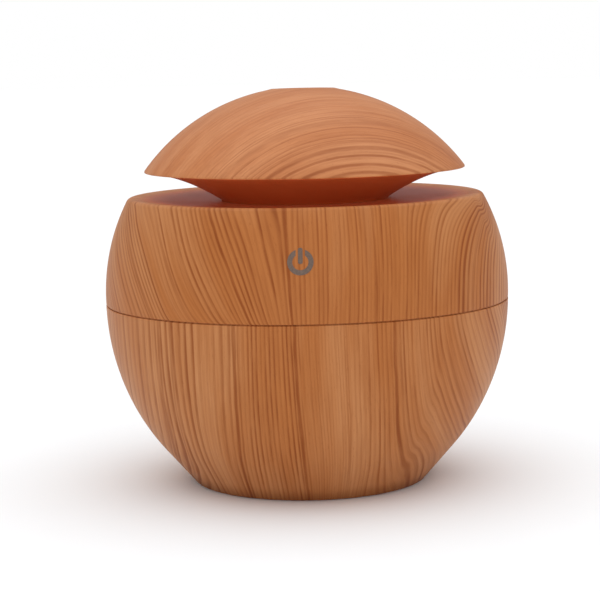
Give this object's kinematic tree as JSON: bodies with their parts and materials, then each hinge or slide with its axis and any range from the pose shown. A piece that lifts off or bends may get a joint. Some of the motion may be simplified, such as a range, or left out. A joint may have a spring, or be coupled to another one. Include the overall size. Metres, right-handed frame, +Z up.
{
  "type": "essential oil diffuser",
  "caption": "Ball-shaped ultrasonic aroma diffuser: open tank bowl, lift-off upper unit with wick and board, and a mushroom cap whose flat top holds the mist outlet.",
  "frame": {"origin": "centre of the base, on the surface that the foot ring stands on", "axes": "+Z up along the axis of the ball and cap, -Y towards the front with the touch symbol, +Y towards the USB socket at the back, +X to the right seen from the front"},
  "size_m": [0.1, 0.1, 0.0972],
  "materials": {
    "wood_print": "printed pine grain on ABS, satin",
    "brown_plastic": "semi-gloss moulded red-brown",
    "white_plastic": "moulded white polypropylene",
    "clear_plastic": "natural translucent",
    "silicone": "translucent white, matte",
    "black_rubber": "matte",
    "steel": "bright zinc and stainless",
    "brass": "plain",
    "piezo_ceramic": "fired ceramic with silver face",
    "board_green": "solder-masked board",
    "black_epoxy": "moulded black epoxy",
    "led_lens": "clear with phosphor",
    "cotton": "pressed fibre",
    "lead_red": "insulation",
    "lead_black": "insulation"
  },
  "bodies": {
    "tank": {"tank_bowl": "wood_print", "foot_ring": "black_rubber"},
    "seal": {"seal_ring": "silicone"},
    "upper_unit": {"upper_shell": "wood_print", "dome_cap": "wood_print", "stem_funnel": "brown_plastic", "chassis": "white_plastic", "stem_nut": "white_plastic", "disc_holder": "white_plastic", "wick_tube": "white_plastic", "riser_tube": "clear_plastic", "disc_gasket": "silicone", "wick_o_ring": "black_rubber", "mesh_plate": "steel", "usb_socket": "steel", "wick_spring": "steel", "capacitor": "steel", "chassis_screw_1": "steel", "chassis_screw_2": "steel", "chassis_screw_3": "steel", "board_screw_1": "steel", "board_screw_2": "steel", "board_screw_3": "steel", "holder_screw_1": "steel", "holder_screw_2": "steel", "holder_screw_3": "steel", "touch_pad": "brass", "atomiser_disc": "piezo_ceramic", "main_board": "board_green", "usb_contact_tongue": "black_epoxy", "inductor": "black_epoxy", "control_chip": "black_epoxy", "led_1": "led_lens", "led_2": "led_lens", "led_3": "led_lens", "touch_lead": "lead_red", "disc_lead_1": "lead_red", "disc_lead_2": "lead_black"},
    "wick": {"cotton_wick": "cotton"}
  },
  "joints": [
    {"name": "lid_lift", "type": "slide", "parent": "tank", "child": "seal", "axis": [0, 0, 1], "range_m": [0, 0.06]},
    {"name": "lid_twist", "type": "hinge", "parent": "seal", "child": "upper_unit", "pos_m": [0, 0, 0.045], "axis": [0, 0, 1], "range_deg": [-20, 0]},
    {"name": "wick_press", "type": "slide", "parent": "upper_unit", "child": "wick", "axis": [0, 0, -1], "range_m": [0, 0.002], "stiffness_N_per_m": 150, "springref_m": -0.003, "deforming": ["wick_spring"]}
  ]
}
